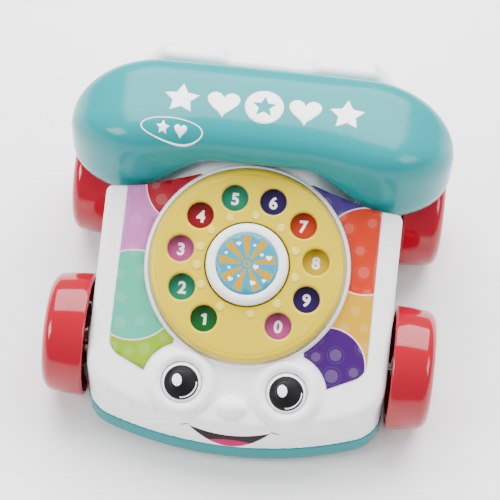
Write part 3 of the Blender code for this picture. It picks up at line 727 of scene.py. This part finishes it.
def make_handset():
    low = (-104, HANDSET_Y - 36, 66)
    high = (104, HANDSET_Y + 29, HANDSET_Z + HANDSET_HALF_HEIGHT + 2)
    points, faces = surface_net(upper_shell, low, high, 1.15)
    made = piece(
        "handset_upper_moulding", points, faces, [TEAL], "handset",
        ("handset_upper_shell",)
    )
    thin_inside(made, handset_field(*points.T) < -1.2, 0.65)
    points, faces = surface_net(lower_cover, low, (104, HANDSET_Y + 29, 106), 1.05)
    made = piece(
        "handset_lower_moulding", points, faces, [TEAL], "handset",
        ("handset_lower_cover",)
    )
    thin_inside(made, handset_field(*points.T) < -1.2, 0.65)


def handset_top(x, y):
    """Height of the handset's top surface over a point."""
    middle_y, wide, middle_z, half, power = handset_section(x)
    across = np.clip(np.abs(y - middle_y) / wide, 0, 1)
    return middle_z + half * (1 - across**power) ** (1 / power)


def star(centre, radius, points=5, depth=0.5, tilt=90):
    steps = 2 * points
    angles = np.radians(tilt + np.arange(steps) * 360 / steps)
    reach = np.where(np.arange(steps) % 2, radius * depth, radius)
    return np.stack([centre[0] + reach * np.cos(angles), centre[1] + reach * np.sin(angles)], 1)


def heart(centre, size, tilt=0.0, steps=28):
    t = np.linspace(0, 2 * math.pi, steps, endpoint=False)
    x = 16 * np.sin(t) ** 3
    y = 13 * np.cos(t) - 5 * np.cos(2 * t) - 2 * np.cos(3 * t) - np.cos(4 * t)
    a = math.radians(tilt)
    x, y = x * math.cos(a) - y * math.sin(a), x * math.sin(a) + y * math.cos(a)
    return np.stack([centre[0] + x * size / 32, centre[1] + y * size / 32], 1)


def make_handset_marks():
    """Plain white shapes along the grip, and a small oval outline round two more."""

    def place(x, y):
        return np.stack([x, y, handset_top(x, y) + FILM_GAP], -1)

    y = 46.5
    oval_at = (-45, 29)
    shapes = {
        "grip_star_left": star((-42, y), 9.5),
        "grip_heart_left": heart((-20.5, y), 17),
        "grip_disc": circle((0.5, y), 10.0, 64),
        "grip_heart_right": heart((21.5, y), 17),
        "grip_star_right": star((43, y), 9.5),
        "small_star": star((-49.5, 29), 3.6),
        "small_heart": heart((-40.5, 29), 6.6),
    }
    for name, loop in shapes.items():
        marks = [(star((0.5, y), 6.6, 5, 0.45), 1)] if name == "grip_disc" else []
        film(name, loop, marks, [PRINT_WHITE, TEAL], place, "handset", spacing=1.5)
    rim = oval(oval_at, (16.0, 5.6), steps=64)
    hole = oval(oval_at, (15.3, 5.1), steps=64)
    film(
        "small_oval", rim, [], [PRINT_WHITE], place, "handset", spacing=1.5,
        holes=[hole]
    )


# ---------------------------------------------------------------- wheels


def wheel_profile():
    """Down the outer face, over the tread, and back along the hollow inner side."""
    outer = [(0, 21.6, 0), (6.2, 21.4, 1.0), (8.2, 20.0, 1.0), (18.5, 19.8, 1.0), (20.5, 21.8, 1.2)]
    tread = [(27.2, 21.8, 3.0), (31.0, 18.6, 4.5), (32.3, 8.0, 4.0), (32.5, 0.9, 0.5), (31.9, 0.0, 0.5)]
    hollow = [
        (30.2, 0.0, 0.4), (29.4, 15.5, 1.5), (18.4, 17.8, 1.0), (17.8, 2.0, 0.3), (16.5, 2.0, 0.3),
        (16.0, 17.8, 1.0)
    ]
    boss = [(6.2, 17.4, 0.6), (5.4, 0.8, 0.3), (2.4, 0.8, 0.1), (2.4, 17.0, 0.1), (0, 17.0, 0)]
    return eased(outer + tread + hollow + boss)


def make_wheels():
    points, faces = lathe(wheel_profile(), 144)
    for end in ("front", "rear"):
        centre = joint_place(f"{end}_axle_spin")
        for label, side in (("left", -1), ("right", 1)):
            node = f"wheel_{end}_{label}"
            low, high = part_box(node)
            inner_x = (low.x if side > 0 else high.x) / MM
            x = inner_x + side * points[:, 2]
            placed = np.stack([x, centre[1] + points[:, 0], centre[2] + side * points[:, 1]], 1)
            piece(
                f"{node}_moulding", placed, faces, [RED], f"{end}_wheelset", (node,),
                sharp=45
            )


# ---------------------------------------------------------------- dial


def hole_centres():
    for i in range(1, HOLE_PLACES):
        a = math.radians(270 - 360 / HOLE_PLACES * i)
        yield HOLE_CIRCLE * math.cos(a), HOLE_CIRCLE * math.sin(a)


def dial_top(r):
    """Height of the dial's gently coned top."""
    return 7.3 - 0.03 * (r - 22)


def dial_field(u, v, h):
    r = np.hypot(u, v)
    disc = round_max(r - 50.5, h - dial_top(r), 3.6)
    disc = round_max(disc, 1.2 - h, 0.4)
    step = np.maximum(np.abs(r - 47.0) - 0.3, 6.1 - h)
    disc = smooth_max(disc, -step, 0.5)
    disc = smooth_max(disc, -np.maximum(r - 47.5, h - 2.0), 0.3)
    disc = smooth_max(disc, -np.maximum(r - 22.1, 3.2 - h), 0.7)
    sleeve = np.maximum(r - 11.0, np.maximum(-7.2 - h, h - 3.2))
    disc = np.minimum(disc, sleeve)
    disc = np.maximum(disc, 8.3 - r)
    for hole_u, hole_v in hole_centres():
        hole = np.hypot(u - hole_u, v - hole_v) - HOLE_RADIUS
        disc = smooth_max(disc, -hole, 1.5)
    return disc


def make_dial():
    points, faces = surface_net(dial_field, (-52, -52, -8.5), (52, 52, 9), 0.72)
    placed = face_point(points[:, 0], DIAL_S + points[:, 1], points[:, 2])
    piece(
        "dial_moulding", placed, faces, [YELLOW], "rotary_dial", ("dial",), sharp=50
    )


def make_dial_dots():
    """Soft pale dots printed round the dial between its hub and its holes."""
    halo = plastic("dial_dot_halo", (0.68, 0.52, 0.03), 0.3, 0.01)
    pale = plastic("dial_dot_pale", (0.74, 0.60, 0.09), 0.3, 0.01)

    def place(u, v):
        return face_point(u, DIAL_S + v, dial_top(np.hypot(u, v)) + FILM_GAP)

    for i, angle in enumerate((86, 53, 21, -10, -47, -80, -116, -150, 187, 165, 142, 116)):
        a = math.radians(angle)
        centre = (DOT_CIRCLE * math.cos(a), DOT_CIRCLE * math.sin(a))
        marks = [(circle(centre, 1.5, 20), 1)]
        film(
            f"dial_dot_{i + 1}", circle(centre, 2.5, 28), marks, [halo, pale], place, "rotary_dial",
        )


def make_number_plate():
    """The fixed plate under the dial: a coloured spot and a white digit below each finger hole."""
    inks = [YELLOW]
    marks = []
    for (u, v), digit in zip(hole_centres(), DIGITS):
        inks.append(plastic(f"spot_{digit}", SPOTS[digit], 0.3, 0.03))
        marks.append((circle((u, v), 8.4, 48), len(inks) - 1))

    def place(u, v):
        return face_point(u, DIAL_S + v, PLATE_H)

    sleeve = circle((0, 0), 11.8, 40)
    made = film(
        "number_card", circle((0, 0), 44.0, 120), marks, inks, place, "chassis",
        ("number_plate",), holes=[sleeve]
    )
    made.modifiers["film thickness"].thickness = 1.0 * MM
    for (u, v), digit in zip(hole_centres(), DIGITS):
        make_digit(digit, u, v)


def make_digit(digit, u, v):
    """A rounded white numeral, standing just off the plate. The 1 is drawn, the others are lettered."""
    if digit == "1":
        bar = [
            (-0.3, -3.0), (1.2, -3.0), (1.2, 3.0), (-0.1, 3.0), (-1.9, 1.9), (-1.2, 0.9), (-0.3, 1.4)
        ]

        def place(x, y):
            return face_point(u + x, DIAL_S + v + y, DIGIT_H)

        film("digit_1", bar, [], [PRINT_WHITE], place, "chassis", spacing=1.0)
        return
    letters = bpy.data.curves.new(f"digit_{digit}", "FONT")
    letters.body = digit
    letters.size = 8.6 * MM
    letters.align_x = "CENTER"
    letters.offset = 0.29 * MM
    letters.extrude = 0.06 * MM
    letters.resolution_u = 6
    holder = bpy.data.objects.new(f"digit_{digit}", letters)
    bpy.context.scene.collection.objects.link(holder)
    seen = holder.evaluated_get(bpy.context.evaluated_depsgraph_get())
    data = bpy.data.meshes.new_from_object(seen)
    bpy.data.objects.remove(holder)
    flat = np.array([tuple(vertex.co) for vertex in data.vertices]) / MM
    faces = [list(face.vertices) for face in data.polygons]
    bpy.data.meshes.remove(data)
    middle = (flat.min(0) + flat.max(0)) / 2
    flat = flat - (middle[0], middle[1], 0)
    points = face_point(u + flat[:, 0], DIAL_S + v + flat[:, 1], DIGIT_H + flat[:, 2])
    piece(f"digit_{digit}", points, faces, [PRINT_WHITE], "chassis", sharp=30)


def make_hub():
    """The press button: a domed white ring round a sunk disc, on a stem."""
    top = [
        (0, 10.2, 0), (16.3, 10.2, 0.2), (16.6, 10.7, 0.5), (18.8, 10.8, 1.6), (20.6, 9.6, 1.8),
        (21.3, 7.6, 1.0)
    ]
    under = [
        (21.3, 5.5, 0.3), (19.6, 5.4, 0.3), (19.3, 7.6, 0.5), (4.0, 7.6, 0.4), (4.0, -11, 0.2),
        (5.4, -11.4, 0.2)
    ]
    stem = [(5.4, -12.2, 0.2), (4.0, -13.0, 0.2), (4.0, -15.0, 0.4), (0, -15.0, 0)]
    points, faces = lathe(eased(top + under + stem), 120)
    placed = face_point(points[:, 0], DIAL_S + points[:, 1], points[:, 2])
    piece("hub_moulding", placed, faces, [WHITE], "button", ("hub_button",), sharp=45)


def hub_rays():
    """Wedges that widen outwards, in the second ink."""
    for angle in (96, 56, 13, -26, -63, -106, -143, 176, 138):
        a = math.radians(angle)
        along = np.array([math.cos(a), math.sin(a)])
        side = np.array([-math.sin(a), math.cos(a)])
        near, far = along * 3.2, along * 14.4
        yield [near - side * 0.6, far - side * 2.2, far + side * 2.2, near + side * 0.6], 1


def hub_hearts():
    """Small hearts in the third ink, each given by its angle, its reach and its size."""
    places = (
        (20, 11.6, 3.2), (36, 8.8, 2.0), (73, 10.2, 1.8), (118, 11.2, 2.6), (158, 12.0, 1.7),
        (-15, 4.8, 3.0), (-40, 12.4, 2.2), (-68, 10.4, 3.0), (-118, 7.6, 1.6), (-132, 11.6, 2.8),
        (-162, 9.4, 1.7),
    )
    for angle, reach, size in places:
        a = math.radians(angle)
        yield heart((reach * math.cos(a), reach * math.sin(a)), size, angle / 6), 2


def make_hub_print():
    """The button's disc: rays, rings in the middle, and hearts over them."""
    inks = [
        plastic("hub_blue", (0.02, 0.25, 0.36), 0.3, 0.02),
        plastic("hub_ray", (0.46, 0.24, 0.001), 0.3, 0.03),
        PRINT_WHITE,
    ]
    rings = [(circle((0, 0), 2.7, 32), 0), (circle((0, 0), 1.9, 28), 1), (circle((0, 0), 1.0, 20), 0)]
    marks = [*hub_rays(), *rings, *hub_hearts()]

    def place(u, v):
        return face_point(u, DIAL_S + v, HUB_PRINT_H)

    film(
        "hub_print", circle((0, 0), 16.1, 90), marks, inks, place, "button",
        ("hub_sticker",)
    )


# ---------------------------------------------------------------- panels


def panel_outline():
    """The right panel, as X and S on the face."""
    inner = arc((0, DIAL_S), 53.5, 58.3, -51, 40)
    around_eye = arc((EYE_X, EYE_S), 20.6, 70, 12, 16)
    corner = arc((56.5, 38.5), 10.0, -66, 0, 10)
    top = [(66.3, 117.6), (62, 118.0), (54, 119.6), (46, 122.3), (36, 125.4), (30, 127.4)]
    return np.concatenate([top, inner, around_eye, corner])


def panel_inks(names):
    """Three inks for each region: plain, in a dot's thin ring, and in its disc."""
    return [
        plastic(f"print_{name}_{level}", tinted(REGIONS[name], share), 0.32, 0.03)
        for name in names
        for level, share in enumerate((0.0, 0.015, 0.045))
    ]


def dots(centres):
    """Marks that lighten what is under them: a thin ring and a disc inside it."""
    marks = []
    for u, v, size in centres:
        marks.append((circle((u, v), 4.6 * size, 36), lambda ink: ink - ink % 3 + 1))
        marks.append((circle((u, v), 4.1 * size, 36), lambda ink: ink - ink % 3))
        marks.append((circle((u, v), 3.1 * size, 32), lambda ink: ink - ink % 3 + 2))
    return marks


def ringed(centre, radius, line, colour):
    """A coloured circle with a thin pale edge."""
    return [(circle(centre, radius + 0.35, 96), line), (circle(centre, radius - 0.35, 96), colour)]


def make_panel(label, outline, names, marks, spots):
    """A printed panel in its first ink, with its marks and then its dots painted over it."""

    def place(u, v):
        return face_point(u, v, PANEL_H)

    film(
        f"panel_print_{label}", outline, marks + dots(spots), panel_inks(names), place, "chassis",
        (f"printed_panel_{label}",)
    )


def make_left_panel():
    """Lilac over green, with a red and a mint circle."""
    names = ("lilac", "red", "mint", "green", "line")
    red, mint, green, line = (3 * names.index(name) for name in names[1:])
    below = [(-80, 57), (-20, 57), (-20, 0), (-80, 0)]
    marks = [(below, green), *ringed((-36, 121), 20.8, line, red), *ringed((-57, 61), 23.4, line, mint)]
    spots = (
        (-48, 112, 1.0), (-36, 118, 0.8), (-60, 100, 1.0), (-59, 84, 1.0), (-52, 119, 0.7),
        (-62, 116, 0.7), (-65, 71, 0.8), (-54, 73, 0.9), (-63, 59, 0.9), (-52, 48, 0.9),
        (-62, 46, 1.0), (-45, 57, 0.8), (-48, 34, 1.0), (-56, 32, 0.8), (-64, 34, 0.7), (-39, 41, 0.8),
    )
    make_panel("left", panel_outline() * (-1, 1), names, marks, spots)


def make_right_panel():
    """Indigo over yellow, with an orange and a purple circle."""
    names = ("indigo", "orange", "yellow", "purple", "line")
    orange, yellow, purple, line = (3 * names.index(name) for name in names[1:])
    below = [(20, 76), (80, 76), (80, 0), (20, 0)]
    marks = [(below, yellow), *ringed((60, 96), 22.7, line, orange), *ringed((46, 35), 19.8, line, purple)]
    spots = (
        (37, 119, 1.0), (46, 113, 0.8), (50, 107, 0.9), (62, 111, 0.8), (57, 96, 0.8), (60, 85, 1.0),
        (50, 88, 0.7), (63, 74, 0.8), (58, 65, 0.8), (53, 56, 0.8), (63, 56, 0.7), (64, 46, 1.0),
        (50, 41, 1.0), (40, 39, 0.8), (49, 30, 1.1), (60, 33, 0.8),
    )
    make_panel("right", panel_outline(), names, marks, spots)


# ---------------------------------------------------------------- face


def make_eyes():
    """Two white balls, each with a printed pupil: dark grey, black, a highlight and a crescent."""
    angles = np.linspace(0, math.pi, 49)
    profile = [(EYE_RADIUS * math.sin(a), EYE_RADIUS * math.cos(a)) for a in angles]
    profile[0] = (0, EYE_RADIUS)
    profile[-1] = (0, -EYE_RADIUS)
    points, faces = lathe(profile, 72)
    ink = [
        plastic("pupil_black", (0.006, 0.006, 0.007), 0.5, 0.05, grain=0.0, shine=0.12),
        plastic("pupil_grey", (0.02, 0.02, 0.021), 0.5, 0.05, grain=0.0, shine=0.12),
        PRINT_WHITE,
    ]
    for label, side in (("left", -1), ("right", 1)):
        centre = np.array([side * EYE_X, EYE_AT[1], EYE_AT[2]])
        ball = (
            centre
            + np.outer(points[:, 0], (1, 0, 0))
            + np.outer(points[:, 1], FACE_UP)
            + np.outer(points[:, 2], FACE_OUT)
        )
        piece(
            f"eye_ball_{label}", ball, faces, [EYE_WHITE], "eyes",
            (f"eyeball_{label}",), sharp=180
        )

        def place(u, v, centre=centre):
            reach = np.hypot(u, v)
            angle = reach / EYE_RADIUS
            scale = np.where(reach > 1e-9, np.sin(angle) / np.maximum(reach, 1e-9), 1 / EYE_RADIUS)
            out = (EYE_RADIUS + FILM_GAP) * np.stack([u * scale, v * scale, np.cos(angle)], -1)
            return centre + out[:, :1] * (1, 0, 0) + out[:, 1:2] * FACE_UP + out[:, 2:] * FACE_OUT

        crescent = np.concatenate([arc((0, -0.2), 8.8, -88, 5, 20), arc((-0.5, 0.3), 8.6, 5, -88, 20)])
        marks = [
            (oval((-1.6, 0.6), (4.6, 5.2)), 1),
            (oval((-0.9, 0.2), (4.6, 5.0)), 0),
            (oval((-2.2, 0.6), (2.5, 3.2), 12), 2),
            (crescent, 2),
        ]
        film(
            f"pupil_{label}", circle((0, -0.4), 9.8, 72), marks, ink, place, "eyes",
            spacing=1.2
        )


def make_mouth():
    """A plain open smile printed on the chin."""
    ink = [
        plastic("mouth_dark", (0.016, 0.006, 0.009), 0.5, 0.05, shine=0.1),
        plastic("mouth_pink", (0.42, 0.006, 0.09), 0.5, 0.04, shine=0.1),
        plastic("mouth_line", (0.03, 0.02, 0.023), 0.5, 0.05, shine=0.1),
    ]

    def place(u, v):
        y = ARC_CENTRE_Y - np.sqrt((ARC_RADIUS - SHELL_INSET + 0.09) ** 2 - u**2)
        return np.stack([u, y, v], -1)

    def bow(half, end_z, middle_z, steps=36):
        x = np.linspace(-half, half, steps + 1)
        return np.stack([x, middle_z + (end_z - middle_z) * (x / half) ** 2], 1)

    upper = bow(21.0, 35.6, 30.8)
    lower = bow(21.0, 35.6, 19.1)[::-1][1:-1]
    mouth = np.concatenate([upper, lower])
    tongue = oval((0.5, 19.8), (14.5, 6.4))
    film("mouth_print", mouth, [(tongue, 1)], ink, place, "chassis", spacing=1.5)
    for label, side in (("left", -1), ("right", 1)):
        tick = arc((side * 18.4, 27.0), 10.4, 90 - side * 16, 90 - side * 44, 12)
        tick_in = arc((side * 18.4, 27.0), 9.7, 90 - side * 44, 90 - side * 16, 12)
        film(
            f"smile_corner_{label}", np.concatenate([tick, tick_in]), [], [ink[2]], place, "chassis",
            spacing=1.5
        )


# ---------------------------------------------------------------- stage


def make_stage():
    """A pale floor under an evenly lit sky."""
    bpy.ops.mesh.primitive_plane_add(size=6.0)
    floor = bpy.context.object
    floor.name = "floor"
    floor.data.materials.append(plastic("floor_paper", (0.93, 0.93, 0.93), 0.8, 0.004, grain=0.0))
    world = bpy.data.worlds.new("studio")
    bpy.context.scene.world = world
    world.use_nodes = True
    shade = world.node_tree.nodes["Background"]
    shade.inputs["Color"].default_value = (1, 1, 1, 1)
    shade.inputs["Strength"].default_value = 0.6


def lamp(name, at, aim, size, power):
    data = bpy.data.lights.new(name, "AREA")
    data.shape = "RECTANGLE"
    data.size, data.size_y = size
    data.energy = power
    made = bpy.data.objects.new(name, data)
    bpy.context.scene.collection.objects.link(made)
    made.location = at
    made.rotation_euler = (Vector(aim) - Vector(at)).to_track_quat("-Z", "Y").to_euler()


def make_lights():
    lamp("overhead", (0.0, 0.8, 1.2), (0, 0.0, 0.05), (1.9, 1.3), 85)
    lamp("left_fill", (-1.2, -0.5, 0.9), (0, 0, 0.05), (0.6, 0.6), 20)
    lamp("right_fill", (1.2, -0.3, 0.9), (0, 0, 0.05), (0.6, 0.6), 11)


CAMERA_AZIMUTH = 3.6
CAMERA_ELEVATION = 57.5
CAMERA_ROLL = 3.0
CAMERA_DISTANCE = 1.0
CAMERA_LENS = 136.4


def make_camera():
    a, e, r = (math.radians(v) for v in (CAMERA_AZIMUTH, CAMERA_ELEVATION, CAMERA_ROLL))
    back = Vector((math.sin(a) * math.cos(e), -math.cos(a) * math.cos(e), math.sin(e)))
    right = Vector((math.cos(a), math.sin(a), 0))
    up = back.cross(right)
    x_axis = right * math.cos(r) + up * math.sin(r)
    y_axis = up * math.cos(r) - right * math.sin(r)
    data = bpy.data.cameras.new("camera")
    data.lens = CAMERA_LENS
    data.sensor_width = 36.0
    data.shift_y = 0.0086
    made = bpy.data.objects.new("camera", data)
    bpy.context.scene.collection.objects.link(made)
    turn = Matrix((x_axis, y_axis, back)).transposed().to_4x4()
    made.matrix_world = Matrix.Translation(back * CAMERA_DISTANCE + Vector((0, 0, 0.06))) @ turn
    bpy.context.scene.camera = made


# ---------------------------------------------------------------- the whole


make_camera()
make_lights()
make_stage()
dress_frame()
make_body()
make_kerb()
make_base()
make_handset()
make_handset_marks()
make_wheels()
make_dial()
make_dial_dots()
make_number_plate()
make_hub()
make_hub_print()
make_left_panel()
make_right_panel()
make_eyes()
make_mouth()
